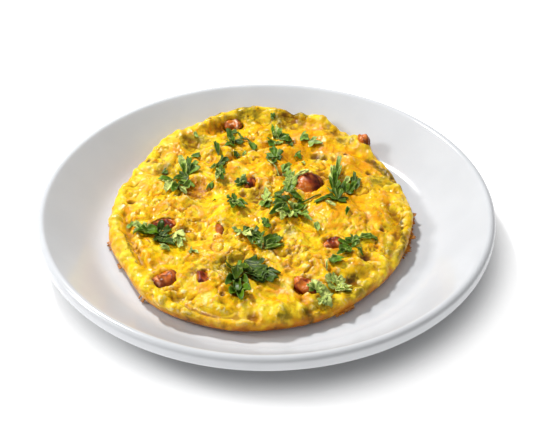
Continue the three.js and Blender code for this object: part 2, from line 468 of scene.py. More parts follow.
# places are (x, y) in millimetres, sizes and heights in millimetres too
omelette = {
    "voxel": 0.68,
    "smoothing": 16,
    "seed": 11,
    "shreds": 1900,
    "shredReach": 98,  # how far from the middle they are strewn
    "shredLength": (2.5, 7.5),
    "shredRadius": (0.9, 1.8),
    "shredBend": (-0.22, 0.22),
    "shredHeight": 0.62,
    "shredLayer": 0.4,
    "warp": 1.6,  # how far curds and folds are pulled out of shape
    "curdSize": 3.8,
    "curdHeight": 0.7,
    "swellSize": 15.0,
    "swellHeight": 3.0,
    "lumpSize": 6.8,
    "lumpHeight": 1.8,
    "foldSize": 10.0,
    "foldDepth": 1.5,
    "lipHeight": 1.3,
    "pleatHeight": 2.3,
    "rippleSize": 3.1,
    "rippleHeight": 0.34,
    "grainSize": 1.4,
    "grainHeight": 0.05,
    "livelySize": 26.0,  # of the places where the relief is strong
    "pitDepth": 1.9,
    "holeDepth": 0.7,
    "sideRelief": 0.3,  # of the relief that the top has
    "deepest": 3.2,
    "flatUnder": -0.97,  # upward part of a normal on the side it lies on
    # direction in degrees, half width in degrees, how far the edge stands out or in
    "edges": [
        (8, 15, 1.4), (-46, 13, 1.9), (-76, 16, 2.0), (-97, 17, 1.6), (190, 10, -1.3),
        (214, 11, -0.9), (236, 9, 0.7), (155, 14, -1.6), (121, 10, 0.3), (65, 13, 0.8),
        (104, 8, 0.8), (88, 7, 0.4), (30, 9, -0.8),
    ],
    # points, half width, height: lips and folds stand up, grooves and recesses go down
    "ridges": [
        ([(-56, -69), (-49, -76), (-39.5, -84), (-28, -88.5), (-17, -90), (-8, -88)], 3.2, 3.6),
        ([(-47, -70), (-38, -76.5), (-27, -81), (-16, -82)], 3.0, -4.0),
        ([(-82, 4), (-78.5, -13), (-73.5, -29), (-67, -44)], 2.2, -2.4),
        ([(-77, 2), (-74, -14), (-69.5, -29), (-63, -42)], 1.8, 1.5),
        ([(-87, 3), (-84, -15), (-79, -32), (-72, -48)], 3.6, 1.2),
        ([(70, 14), (75, 3), (75.5, -10), (73, -22), (68, -34)], 2.4, -2.6),
        ([(76, 12), (81, 1), (82, -8), (80, -19), (74, -33)], 3.0, 0.8),
        ([(-40, 89), (-32, 94.5), (-24, 99), (-15, 102)], 4.2, 3.4),
        ([(-34, 84), (-26, 89), (-16, 93)], 3.0, -2.6),
        ([(14, 98), (24, 94.5), (34, 91), (42, 86)], 3.6, -2.2),
        ([(50, 86), (57, 80)], 3.0, 1.4),
        ([(66, 57), (73, 47), (78, 38)], 3.0, -3.2),
        ([(-27, 49), (-21, 55.5), (-10, 67), (2, 73), (14, 76)], 2.2, -2.2),
        ([(-24, 42), (-17, 50), (-6, 61), (4, 66), (16, 69)], 6.0, 1.7),
        ([(17, -63), (21, -74), (23, -86)], 2.4, -2.6),
        ([(-22, -73), (-14, -80), (-6, -83)], 2.8, -2.2),
        ([(-44, -42), (-34, -37), (-24, -40)], 2.2, -1.6),
        ([(40, 34), (49, 23), (56, 0), (63, -20)], 2.0, -1.3),
        ([(2, -30), (12, -38), (26, -44)], 2.2, -1.4),
        ([(-60, 45), (-50, 60), (-42, 72)], 2.4, -1.4),
        ([(30, 62), (44, 56), (56, 50)], 2.2, -1.5),
        ([(36, -62), (48, -54), (58, -44)], 2.4, -1.6),
        ([(-30, 5), (-38, -6), (-40, -22)], 2.0, -1.4),
        ([(44, -72), (56, -62), (66, -50)], 4.0, 1.3),
    ],
    # place, radius, height
    "domes": [
        (-42, 27, 9, -3.4), (-56, -9, 11, -3.2), (-59, -22, 7, -3.0), (-47, -14, 5, -2.0),
        (16, 58, 8, -1.8), (-6, 17, 9, -1.4),
        (56, -36, 6, -2.6), (-14, -46, 12, -2.4), (45, 4, 21, 2.6), (-16, -4, 17, 1.8), (4, 50, 15, 1.4),
        (-35, -28, 12, 1.6), (18, -36, 13, 2.2), (-62, 22, 15, 1.2), (56, 52, 15, 1.4), (62, -38, 9, 1.6),
        (-60, -35, 10, 1.4), (6, -76, 11, 2.4), (-30, 66, 14, 1.2), (32, 80, 13, 1.6), (66, 12, 9, 1.0),
        (-8, -24, 10, 1.4), (-64, 46, 9, -2.2), (-47, 74, 8, -1.6), (34, 97, 9, 2.2), (17, 101, 6, -2.4),
        (8, -84, 3.4, -1.6), (-28, -74, 9, 1.4), (46, -56, 7, -1.8), (34, 44, 9, -1.4), (66, 62, 8, -1.6),
        (-55, 82, 14, 1.8), (4, 106, 8, 1.2), (38, 93, 11, 1.4),
    ],
    # where the cheese has run into a smooth sheet
    "sheets": [(30, 78, 26), (58, 58, 20), (6, 62, 16), (44, 14, 20), (-48, 86, 10)],
    # where the egg shows, greener than the cheese
    "greens": [
        (-45, 74, 12), (-61, 47, 9), (-20, -46, 12), (8, -82, 6), (24, -78, 8), (50, -60, 13),
        (72, -28, 9), (48, 77, 8), (12, 97, 12), (-12, 102, 10), (66, 38, 7),
        (-4, 18, 8), (32, 60, 7), (14, -16, 6), (76, 38, 9), (30, -72, 7), (-36, -78, 5),
    ],
    # brown in hollows and in the shade of folds: browned egg in part, painted shade in part
    "brownsAndShade": [
        (15, 97, 9), (40, 86, 7), (75, 5, 5), (76, -16, 7), (-8, -84, 6), (-30, -84, 6), (-43, 27, 10),
        (-60, -8, 7), (-48, -14, 6), (20, -80, 5), (-30, 92, 6), (34, 42, 7), (64, 56, 5), (45, -55, 6),
        (-3, 20, 7), (8, 36, 6), (54, -34, 5), (70, 47, 5), (-6, -42, 7), (12, -44, 5), (-58, -22, 7),
        (-37, -50, 7), (30, -66, 6), (-64, 46, 7), (-47, 74, 6), (2, -31, 6), (44, 60, 6), (-20, -66, 6),
    ],
    # small pits, darkened as browned specks and as painted shade in them
    "pits": [
        (-78.8, 14.8, 2.4), (16.1, 75.4, 3.4), (30.6, 62.2, 2.8), (35.4, 59.0, 2.6), (54.7, -35.1, 3.2),
        (-46.0, -12.6, 4.2), (-13.5, 20.8, 2.6), (-6.4, 14.9, 2.2), (-72.6, 57.3, 2.4), (-35.4, 94.4, 1.8),
        (39, 38, 2.6), (5, 16, 2.2), (8, 40, 2.6), (-60, -14, 3.0), (-4, -24, 2.8), (-16, -66, 2.6),
        (37, -52, 3.0), (-23, -68, 2.2), (62, 44, 2.0), (-22, 73, 1.8), (49, 60, 1.8), (66, -12, 1.6),
    ],
    # dark lines painted as shadow where the egg folds under a lip, and in shaded hollows: points, half width
    "paintedShadowLines": [
        ([(64, 58), (71, 50), (77, 43), (81, 34)], 3.2),
        ([(-39, 96), (-29, 99), (-22, 106)], 1.4),
        ([(6, 113), (12, 108), (20, 103), (26, 100)], 1.8),
        ([(-41, -82), (-32, -88), (-22, -88)], 2.0),
        ([(-80, -15), (-76, -30), (-71, -42)], 0.9),
        ([(77, 1), (77, -16), (77, -33)], 1.4),
        ([(21, -77), (27, -88)], 1.8),
        ([(-49, 21), (-52, 27)], 2.8),
        ([(15, 76), (11, 74)], 2.2),
        ([(5, 60), (7, 55)], 2.2),
        ([(-60, -4), (-55, -3)], 3.0),
        ([(-62, -21), (-57, -23)], 2.6),
        ([(-49, -12), (-47, -14)], 2.6),
        ([(45, -53), (48, -51)], 2.0),
        ([(-2, -31), (3, -33)], 2.0),
        ([(-24, -44), (-20, -47)], 1.6),
    ],
    # orange juice stains round the tomato
    "stains": [
        (-40, 29, 10), (-9, 30, 7), (-56, -54, 10), (-34, -55, 7), (22, -58, 10), (38, -25, 8),
        (26, 30, 10), (-22, 92, 7), (-58, -6, 8), (16, 75, 5), (-21, 45, 6), (59, 74, 5), (6, 46, 5),
    ],
    "cheeseBright": colour("ffcb00"),
    "cheeseDeep": colour("faae00"),
    "cheeseOrange": colour("ee9200"),
    # pale cream painted on the tops of lumps as highlights
    "paintedHighlightCream": colour("fff4ac"),
    "eggPale": colour("ffde28"),
    "eggYellow": colour("f6c208"),
    "eggGreen": colour("a08a14"),
    # brown for browned egg, and for painted shade in hollows
    "brown": colour("865200"),
    # the colour of the painted shade in creases and hollows
    "crease": colour("945600"),
    "toast": colour("d87c08"),
    "rust": colour("a4560e"),
    # the colour of the painted shadow lines
    "paintedShadowLine": colour("54440a"),
    "charAndShade": colour("5b3413"),
    # dark brown for browned specks, and for painted shade in pits and holes
    "juice": colour("bc5e0a"),
    "wet": (0.05, 0.18),  # least and most roughness
    "ior": 1.42,
    "specular": 0.36,
    "underLight": (0.15, (1.0, 0.6, 0.08), 1.0),  # weight, reach of red, green and blue, scale
    "pores": 0.36,  # beside the melted grain of 1
    "bump": (0.8, 0.7),
    # mask, its clouds' scale and two levels, strength, colour
    "layers": [
        ("brown", (300, 0.3, 0.6), 0.85, "brown"),
        ("paintedCreaseShade", None, 0.72, "crease"),
        # painted highlights on the tops of lumps
        ("paintedHighlight", (420, 0.45, 0.6, 2.0), 0.85, "paintedHighlightCream"),
        ("stain", (260, 0.35, 0.65), 0.55, "juice"),
        ("toast", (170, 0.25, 0.6), 0.95, "toast"),
        ("rust", None, 0.85, "rust"),
        ("paintedShadowLine", (380, 0.25, 0.6), 0.85, "paintedShadowLine"),
        ("pitBrownAndShade", None, 0.75, "charAndShade"),
    ],
}


def outlineOf(points, centre, bins=240):
    # reach of the shape in each direction, as a function of the angle
    angles = np.arctan2(points[:, 1] - centre[1], points[:, 0] - centre[0])
    reach = np.hypot(points[:, 0] - centre[0], points[:, 1] - centre[1])
    slots = ((angles / (2 * np.pi) + 0.5) * bins).astype(int) % bins
    most = np.zeros(bins)
    np.maximum.at(most, slots, reach)
    most = (np.roll(most, 1) + most * 2 + np.roll(most, -1)) / 4
    places = (np.arange(bins) + 0.5) / bins * 2 * np.pi - np.pi

    def outline(angle):
        return np.interp(angle, places, most, period=2 * np.pi)

    return outline


def ramp(low, high, values):
    share = np.clip((values - low) / (high - low), 0, 1)
    return share * share * (3 - 2 * share)


def alongLine(x, y, points):
    # distance from a run of points
    best = np.full(len(x), 1e9)
    for (ax, ay), (bx, by) in zip(points, points[1:]):
        dx, dy = bx - ax, by - ay
        t = np.clip(((x - ax) * dx + (y - ay) * dy) / (dx * dx + dy * dy), 0, 1)
        best = np.minimum(best, np.hypot(x - ax - dx * t, y - ay - dy * t))
    return best


def spots(x, y, rows, waver, full=0.45, none=1.15):
    # soft round patches with a wavering edge
    mask = np.zeros(len(x))
    for px, py, radius in rows:
        away = np.hypot(x - px, y - py) / radius * waver
        mask = np.maximum(mask, 1 - ramp(full, none, away))
    return mask


def noiseAt(points, size, offset):
    shift = Vector(offset)
    return np.array([noise.noise(Vector(p) / size + shift) for p in points])


def cellsAt(points, size, offset):
    # nearness to the middle of rounded cells, 1 in the middle
    shift = Vector(offset)
    nearest = [noise.voronoi(Vector(p) / size + shift)[0] for p in points]
    first = np.array([d[0] for d in nearest])
    second = np.array([d[1] for d in nearest])
    return np.clip((second - first) * 1.6, 0, 1), first


def shredHeights(x, y, settings):
    # melted shreds lying over each other, as a height over the bare egg
    rng = random.Random(settings["seed"])
    cell = 8
    grid = {}
    for i, key in enumerate(zip((x // cell).astype(int).tolist(), (y // cell).astype(int).tolist())):
        grid.setdefault(key, []).append(i)
    grid = {key: np.array(found) for key, found in grid.items()}
    heights = np.zeros(len(x))
    tones = np.zeros(len(x))
    for _ in range(settings["shreds"]):
        turn = rng.uniform(0, 2 * math.pi)
        reach = settings["shredReach"] * math.sqrt(rng.random())
        px, py = reach * math.cos(turn), reach * math.sin(turn)
        aim = rng.uniform(0, math.pi)
        length = rng.uniform(*settings["shredLength"])
        radius = rng.uniform(*settings["shredRadius"])
        bend = rng.uniform(*settings["shredBend"])
        layer = rng.random() * settings["shredLayer"]
        tone = rng.random()
        column, row = int(px // cell), int(py // cell)
        found = [grid[key] for key in
                 ((column + i, row + j) for i in (-1, 0, 1) for j in (-1, 0, 1)) if key in grid]
        if not found:
            continue
        near = np.concatenate(found)
        dx, dy = x[near] - px, y[near] - py
        along = dx * math.cos(aim) + dy * math.sin(aim)
        across = -dx * math.sin(aim) + dy * math.cos(aim) - bend * along * along / length * 2
        away = np.hypot(np.maximum(0, np.abs(along) - length / 2), across) / radius
        inside = away < 1
        hit = near[inside]
        rise = (1 - away[inside] ** 2) ** 0.7 * settings["shredHeight"] + layer * (1 - away[inside] ** 6)
        higher = rise > heights[hit]
        heights[hit[higher]] = rise[higher]
        tones[hit[higher]] = tone
    return heights, tones


def meshBlur(mesh, values, rounds):
    # average with the neighbours along the edges
    count = len(mesh.vertices)
    ends = np.empty(len(mesh.edges) * 2, np.int32)
    mesh.edges.foreach_get("vertices", ends)
    first, second = ends[0::2], ends[1::2]
    number = np.bincount(first, minlength=count) + np.bincount(second, minlength=count)
    number = np.maximum(number, 1)
    for _ in range(rounds):
        total = np.bincount(first, values[second], count) + np.bincount(second, values[first], count)
        values = (values + total) / (1 + number)
    return values


def vertexValues(mesh, name):
    # a row of three numbers for each vertex
    values = np.empty(len(mesh.vertices) * 3, np.float32)
    mesh.vertices.foreach_get(name, values)
    return values.reshape(-1, 3).astype(float)


def setMask(mesh, name, values):
    mask = mesh.attributes.new(name, "FLOAT", "POINT")
    mask.data.foreach_set("value", np.clip(values, 0, 1).astype(np.float32))


def smoothedOmelette(settings, material):
    # the side it lies on is left coarse
    piece = evenedSolid("omelette", "open_omelette", material, settings["voxel"], settings["smoothing"])
    bm = bmesh.new()
    bm.from_mesh(piece.data)
    bm.normal_update()
    flat = settings["flatUnder"]
    under = [v for v in bm.verts if all(f.normal.z < flat for f in v.link_faces)]
    bmesh.ops.unsubdivide(bm, verts=under, iterations=4)
    bmesh.ops.triangulate(bm, faces=[f for f in bm.faces if len(f.verts) > 4])
    bm.to_mesh(piece.data)
    bm.free()
    return piece


def tomatoLips(x, y, waver):
    # the melted edge drawn up round each piece of tomato
    lips = np.zeros(len(x))
    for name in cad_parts:
        if not name.startswith("tomato"):
            continue
        low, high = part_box(name)
        centre, half = (low + high) / 2 / mm, (high - low) / 2 / mm
        away = np.hypot((x - centre.x) / half.x, (y - centre.y) / half.y) * (0.6 + 0.4 * waver)
        lips = np.maximum(lips, np.exp(-((away - 1.1) / 0.3) ** 2))
    return lips


def shapeOmelette(piece, settings):
    mesh = piece.data
    places, normals = vertexValues(mesh, "co"), vertexValues(mesh, "normal")
    count = len(places)
    low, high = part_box("omelette")
    centre = (low + high) / 2
    outline = outlineOf(places, centre)
    angle = np.arctan2(places[:, 1] - centre.y, places[:, 0] - centre.x)
    share = np.hypot(places[:, 0] - centre.x, places[:, 1] - centre.y) / outline(angle)
    points = places / mm
    x, y, z = points.T
    top = ramp(-0.25, 0.55, normals[:, 2])

    # clouds of several sizes, and what is worked out from them
    swell = noiseAt(points, settings["swellSize"], (3.1, 0.4, 7.7))
    lump = noiseAt(points, settings["lumpSize"], (6.4, 1.8, 2.9))
    ripple = noiseAt(points, settings["rippleSize"], (8.3, 2.2, 1.9))
    grain = noiseAt(points, settings["grainSize"], (1.3, 9.2, 4.1))
    lively = ramp(-0.3, 0.35, noiseAt(points, settings["livelySize"], (5.2, 7.1, 0.3)))
    waver = 1 + 0.28 * lump + 0.12 * ripple
    warped = points + settings["warp"] * np.stack([ripple, swell, grain], 1)
    curd, curdCentre = cellsAt(warped, settings["curdSize"], (4.4, 1.2, 0.7))
    folded = 1 - ramp(0, 0.14, np.abs(noiseAt(warped, settings["foldSize"], (6.6, 3.3, 5.1))))

    # where the egg shows bare or lies under a smooth sheet of cheese
    green = spots(x, y, settings["greens"], waver)
    sheet = spots(x, y, settings["sheets"], waver)
    edge = ramp(0.86, 0.98, share * (1 + 0.04 * swell))
    bare = np.clip(np.maximum(edge, green * 0.85), 0, 1)

    # swells, folds, lips and pleats
    rise = settings["swellHeight"] * swell * (1 - 0.5 * edge)
    rise += settings["lumpHeight"] * lump * (0.55 + 0.6 * lively) * (1 - 0.35 * sheet)
    foldShare = (0.15 + 0.85 * lively) * (1 - 0.6 * sheet) * (1 - 0.6 * edge)
    rise -= settings["foldDepth"] * folded * foldShare
    for line, width, height in settings["ridges"]:
        away = alongLine(x + 1.2 * ripple, y + 1.2 * swell, line) / width
        rise += height * np.exp(-away ** 2)
    for px, py, radius, height in settings["domes"]:
        away = np.hypot(x - px, y - py) / radius * waver
        rise += height * (1 - ramp(0.2, 1.2, away))
    rise += settings["lipHeight"] * tomatoLips(x, y, waver)
    around = np.stack([angle * 15, share * 5, np.zeros(count)], 1)
    rise += settings["pleatHeight"] * noiseAt(around, 1.0, (2.4, 6.1, 8.8)) * ramp(0.84, 0.95, share)

    # melted shreds, curds, pits and holes
    shreds, tones = shredHeights(x, y, settings)
    cover = (1 - 0.85 * bare) * (1 - 0.6 * sheet)
    curds = settings["curdHeight"] * (1 - (1 - curd) ** 2) * np.maximum(green, 0.2) * (1 - 0.7 * edge)
    melted = meshBlur(mesh, shreds, 1)
    rise += melted * cover + curds + settings["rippleHeight"] * ripple + settings["grainHeight"] * grain
    pits = spots(x, y, settings["pits"], waver, 0.3, 1.25)
    rise -= settings["pitDepth"] * pits
    holes = (1 - ramp(0.16, 0.3, curdCentre)) * ramp(0.1, 0.5, swell) * green
    rise -= settings["holeDepth"] * holes
    rise -= rise[top > 0.5].mean()

    # the lowest part stays on the plate and the sides move less than the top
    base = low.z / mm
    standing = ramp(base + 0.6, base + 5.5, z - ramp(0.75, 1.0, share) * 4)
    amount = rise * (settings["sideRelief"] * (1 - top) + top) * (0.15 + 0.85 * standing)
    moved = points + normals * amount[:, None]
    moved[:, 2] = np.maximum(moved[:, 2], z - settings["deepest"])
    outward = np.zeros(count)
    for direction, spread, reach in settings["edges"]:
        turned = (np.degrees(angle) - direction + 180) % 360 - 180
        outward += reach * np.exp(-(turned / spread) ** 2) * ramp(0.6, 1.0, share)
    moved[:, 0] += outward * np.cos(angle)
    moved[:, 1] += outward * np.sin(angle)
    mesh.vertices.foreach_set("co", (moved * mm).ravel())
    mesh.update()

    # masks for the finish
    broad = meshBlur(mesh, amount, 20)
    fine = meshBlur(mesh, amount, 4)
    # dark lines painted as shadow
    paintedShadowLines = np.zeros(count)
    for line, width in settings["paintedShadowLines"]:
        away = alongLine(x + 0.9 * ripple + 0.8 * lump, y + 0.9 * grain + 0.8 * swell, line) / width
        paintedShadowLines = np.maximum(paintedShadowLines, 1 - ramp(0.3, 1.4, away))
    # brown only where the surface lies lower than round it: partly browned egg, partly painted shade
    brownAndShade = spots(x, y, settings["brownsAndShade"], waver) * ramp(-1.0, 0.4, broad - amount + 0.5 * ripple)
    # the toasted band is lower where the food climbs the rim at the back
    lowHeight = z + 2.5 * lump - 7 * ramp(0.9, 1.1, y / 100)
    lowEdge = ramp(0.90, 1.0, share + 0.03 * swell) * (1 - ramp(base + 3.5, base + 11, lowHeight))
    rust = ramp(0.88, 0.96, share) * (1 - ramp(base + 1.5, base + 6.5, z + 3.0 * lump + ripple))
    under = ramp(0.35, 0.9, -normals[:, 2])
    masks = {
        # darker in creases and hollows: painted shade
        "paintedCreaseShade": np.maximum(ramp(0.1, 1.2, broad - amount), ramp(0.06, 0.45, fine - amount)),
        # paler on the tops of lumps: painted highlight
        "paintedHighlight": ramp(0.08, 0.75, amount - fine * 0.6 - broad * 0.4),
        "cheese": ramp(0.15, 0.7, shreds * (1 - bare)) + sheet * (1 - bare),
        "tone": tones,
        "sheet": sheet,
        "green": green,
        "paintedShadowLine": paintedShadowLines,
        "brown": brownAndShade,
        "toast": np.maximum(lowEdge, under),
        "rust": np.maximum(rust, under),
        # darker in pits and holes: browned specks and painted shade
        "pitBrownAndShade": np.maximum(pits, holes),
        "stain": spots(x, y, settings["stains"], waver),
    }
    for name, values in masks.items():
        setMask(mesh, name, values)


def eggMaterial(settings):
    material, tree, shader = newMaterial("egg_and_cheese")
    bright = mixed(tree, mottle(tree, 150, 0.42, 0.6), settings["cheeseBright"], settings["cheeseDeep"])
    deep = times(tree, combined(tree, "POWER", attribute(tree, "tone"), 2.2), 0.6)
    orange = settings["cheeseOrange"]
    cheese = mixed(tree, deep, bright, orange)
    cheese = layered(tree, cheese, attribute(tree, "sheet"), (120, 0.3, 0.65), 0.5, orange)
    egg = mixed(tree, mottle(tree, 190, 0.38, 0.62), settings["eggPale"], settings["eggYellow"])
    egg = layered(tree, egg, attribute(tree, "green"), (240, 0.3, 0.62), 1.0, settings["eggGreen"])
    base = mixed(tree, attribute(tree, "cheese"), egg, cheese)
    for mask, clouds, strength, over in settings["layers"]:
        base = layered(tree, base, attribute(tree, mask), clouds, strength, settings[over])
    specks = mottle(tree, 900, 0.68, 0.74, 2.0)
    base = layered(tree, base, specks, (60, 0.45, 0.6), 0.6, settings["charAndShade"])
    wet = between(tree, mottle(tree, 130, 0.3, 0.7), 0.0, 1.0, *settings["wet"])
    setFinish(tree, shader, base, wet, settings["ior"], settings["specular"])
    setUnderLight(shader, *settings["underLight"])
    pores, melt = grained(tree, 950.0, 2.0), grained(tree, 380.0, 1.0, 1.0)
    height = combined(tree, "MULTIPLY_ADD", pores, settings["pores"], melt)
    bump(tree, shader, height, *settings["bump"])
    return material


def makeOmelette(settings):
    piece = smoothedOmelette(settings, eggMaterial(settings))
    shapeOmelette(piece, settings)
    shadeSmooth(piece.data)
    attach(piece, "root")
    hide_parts("omelette")
    piece.data.calc_loop_triangles()
    print("omelette made:", len(piece.data.loop_triangles), "triangles")
    return piece


eggPiece = makeOmelette(omelette)


crisp = {
    "steps": 1100,
    "across": 5,
    "thickness": 0.3,
    "least": 0.55,  # shorter scraps are left out
    "root": 3.2,
    "usualTall": 0.8,
    "blend": 3,  # degrees over which a stretch starts and stops
    "tucked": 1.6,
    "clearance": 0.35,
    # from angle, to angle, reach, height over the plate at the tips
    "stretches": [
        (184, 188, 3.2, 4.4), (195, 199, 2.6, 3.2), (208, 211, 2.0, 2.6), (228, 230, 1.2, 2.0),
        (295, 303, 1.5, 2.6), (336, 350, 2.6, 4.4), (352, 362, 2.0, 5.4),
    ],
    "rough": (0.3, 0.55),
    "bump": (0.6, 0.4),
    "gold": colour("f4b03a"),
    "brown": colour("dc8a20"),
    "dark": colour("9c5a16"),
}


def crispMaterial(settings):
    material, tree, shader = newMaterial("crisp_egg")
    tip = attribute(tree, "tip")
    base = mixed(tree, mottle(tree, 240, 0.35, 0.65), settings["gold"], settings["brown"])
    base = layered(tree, base, tip, (330, 0.3, 0.6), 1.0, settings["dark"])
    setFinish(tree, shader, base, between(tree, tip, 0.0, 1.0, *settings["rough"]))
    bump(tree, shader, grained(tree, 800.0, 2.0), *settings["bump"])
    return material


def makeCrispEdge(settings, eggMesh):
    places = vertexValues(eggMesh, "co")
    low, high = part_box("omelette")
    centre = (low + high) / 2
    away = np.hypot(places[:, 0], places[:, 1]) / mm
    onPlate = np.array([plateSurface(plate, r * mm) for r in away])
    outline = outlineOf(places[places[:, 2] - onPlate < 6 * mm], centre, 360)
    usualTall, blend, tucked = settings["usualTall"], settings["blend"], settings["tucked"]
    bm = bmesh.new()
    tipLayer = bm.verts.layers.float.new("tip")
    flakeLayer = bm.verts.layers.float.new("flake")
    bmesh.ops.create_grid(bm, x_segments=settings["steps"], y_segments=settings["across"], size=1)
    for v in bm.verts:
        angle, out = (v.co.x + 1) * math.pi, (v.co.y + 1) / 2
        degrees = math.degrees(angle)
        reach, tall = 0.0, usualTall
        for start, stop, far, tipHeight in settings["stretches"]:
            for turn in (0, 360):
                inside = smooth(start - blend, start + blend, degrees + turn)
                inside *= 1 - smooth(stop - blend, stop + blend, degrees + turn)
                reach += far * inside
                tall += (tipHeight - usualTall) * inside
        spot = Vector((math.cos(angle), math.sin(angle), 0)) * 92
        ragged = 0.5 + 1.1 * noise.noise(spot / 3.4) + 0.9 * noise.noise(spot / 0.6 + Vector((4, 2, 9)))
        ragged = min(1.35, max(0.0, ragged))
        waves = noise.noise(spot / 2.4 + Vector((1, 7, 3 * out)))
        r = float(outline(angle if angle < math.pi else angle - 2 * math.pi)) / mm
        r += -tucked + out * (tucked + reach * ragged)
        x, y = centre.x / mm + r * math.cos(angle), centre.y / mm + r * math.sin(angle)
        ground = plateSurface(plate, math.hypot(x, y) * mm) / mm
        z = ground + settings["root"] * (1 - out) + tall * out + 0.9 * waves
        v.co = Vector((x, y, max(ground + settings["clearance"], z))) * mm
        v[tipLayer] = out
        v[flakeLayer] = reach * ragged
    bare = [f for f in bm.faces if max(v[flakeLayer] for v in f.verts) < settings["least"]]
    bmesh.ops.delete(bm, geom=bare, context="FACES")
    bmesh.ops.remove_doubles(bm, verts=bm.verts, dist=0.03 * mm)
    bmesh.ops.dissolve_degenerate(bm, edges=bm.edges, dist=0.01 * mm)
    bm.normal_update()
    bmesh.ops.reverse_faces(bm, faces=[f for f in bm.faces if f.normal.z < 0])
    piece = thickened(finishPiece(bm, "crisp_edge", crispMaterial(settings)), settings["thickness"], -1)
    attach(piece, "root")
    print("crisp edge made:", len(piece.data.polygons), "faces")


makeCrispEdge(crisp, eggPiece.data)


tomatoes = {
    "voxel": 0.5,
    "smoothing": 6,
    # how far the surface swells, is grained, is creased and stands out, for wrinkles of 1
    "swell": 0.8,
    "grain": 0.05,
    "crease": 1.6,
    "plump": 0.5,
    "skinDark": colour("52140a"),
    "skin": colour("a43a10"),
    "flesh": colour("d4721e"),
    # pale flesh colour, also painted as highlight on one side
    "paleAndHighlight": colour("fac8a0"),
    "wet": (0.12, 0.34),
    "ior": 1.42,
    "specular": 0.35,
    "underLight": (0.15, (1.0, 0.3, 0.12), 1.5),
    "bump": (0.2, 0.3),
    # paleness, wrinkles, how tall the top stands, direction of the pale flesh and painted highlight, depth of
    # the dent
    "looks": {
        "tomato_half": (0.14, 0.35, 1.2, (-0.9, -0.8), 0.0),
        "tomato_piece_1": (0.15, 1.0, 1.2, (-0.8, 0.8), 1.2),
        "tomato_piece_2": (0.75, 0.9, 0.85, (0.3, -0.9), 1.2),
        "tomato_piece_3": (0.5, 1.2, 1.2, (-0.8, -0.2), 0.8),
        "tomato_piece_4": (0.45, 0.5, 1.2, (-0.2, -0.9), 0.4),
        "tomato_piece_5": (0.4, 1.0, 0.75, (-0.5, 0.9), 1.6),
        "tomato_piece_6": (0.1, 1.2, 0.85, (0.9, -0.3), 1.4),
        "tomato_piece_7": (0.1, 1.1, 0.85, (-0.8, -0.5), 1.2),
        "tomato_piece_8": (0.1, 1.2, 0.8, (-0.8, 0.6), 1.8),
        "tomato_piece_9": (0.1, 1.0, 0.8, (0.5, 0.6), 1.0),
    },
}


def tomatoMaterial(settings):
    material, tree, shader = newMaterial("tomato")
    paleAndHighlight = attribute(tree, "paleAndHighlight")
    skin = mixed(tree, mottle(tree, 180, 0.35, 0.65), settings["skinDark"], settings["skin"])
    base = mixed(tree, between(tree, paleAndHighlight, 0.15, 0.6), skin, settings["flesh"])
    # palest on one side: pale flesh, and painted highlight
    base = layered(tree, base, between(tree, paleAndHighlight, 0.4, 0.9), (420, 0.5, 0.66), 1.0, settings["paleAndHighlight"])
    base = layered(tree, base, attribute(tree, "rim"), None, 0.7, settings["skinDark"])
    wet = between(tree, mottle(tree, 300, 0.35, 0.65), 0.0, 1.0, *settings["wet"])
    setFinish(tree, shader, base, wet, settings["ior"], settings["specular"])
    setUnderLight(shader, *settings["underLight"])
    bump(tree, shader, grained(tree, 520.0, 3.0), *settings["bump"])
    return material


def makeTomato(name, look, settings, material):
    paleness, wrinkles, tall, side, dent = look
    piece = evenedSolid(name, name.replace("tomato_", "cooked_tomato_"), material,
                        settings["voxel"], settings["smoothing"])
    low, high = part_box(name)
    centre, half = (low + high) / 2, (high - low) / 2
    paleAndHighlight, rims = [], []
    for v in piece.data.vertices:
        at = v.co / mm
        broad = noise.noise(at / 4.2)
        fine = noise.noise(at / 1.4 + Vector((5, 1, 2)))
        drawn = Vector((at.x * 0.32 + at.y * 0.12, at.y * 0.1 - at.x * 0.06, at.z * 0.1))
        ridged = abs(noise.noise(drawn + Vector((9, 4, 1))))
        if v.co.z > centre.z:
            v.co.z = centre.z + (v.co.z - centre.z) * tall
        swollen = settings["swell"] * broad + settings["grain"] * fine - settings["crease"] * ridged
        v.co += v.normal * (swollen + settings["plump"]) * wrinkles * mm
        rel = v.co - centre
        across, deep = rel.x / half.x, rel.y / half.y
        inward = math.hypot(across - 0.2 * side[0], deep - 0.2 * side[1])
        v.co.z -= dent * math.exp(-(inward / 0.5) ** 2) * mm * (rel.z > 0)
        toSide = across * side[0] + deep * side[1]
        rim = smooth(0.55, 0.95, math.hypot(across, deep)) * (1 - smooth(0, 0.8, toSide))
        rims.append(max(rim, (1 - smooth(0.02, 0.14, ridged)) * min(1, wrinkles)))
        # paler towards one side: pale flesh and painted highlight
        fleshAndHighlight = smooth(0.1, 0.9, toSide + 0.5 * broad) + smooth(0.1, 0.4, ridged) * wrinkles
        paleAndHighlight.append(paleness + 0.5 * fleshAndHighlight)
    setMask(piece.data, "paleAndHighlight", np.array(paleAndHighlight))
    setMask(piece.data, "rim", np.array(rims))
    shadeSmooth(piece.data)
    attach(piece, "root")
    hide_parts(name)
    return piece


tomatoSkin = tomatoMaterial(tomatoes)
tomatoPieces = [makeTomato(name, look, tomatoes, tomatoSkin) for name, look in tomatoes["looks"].items()]
print("tomatoes made:", len(tomatoPieces))


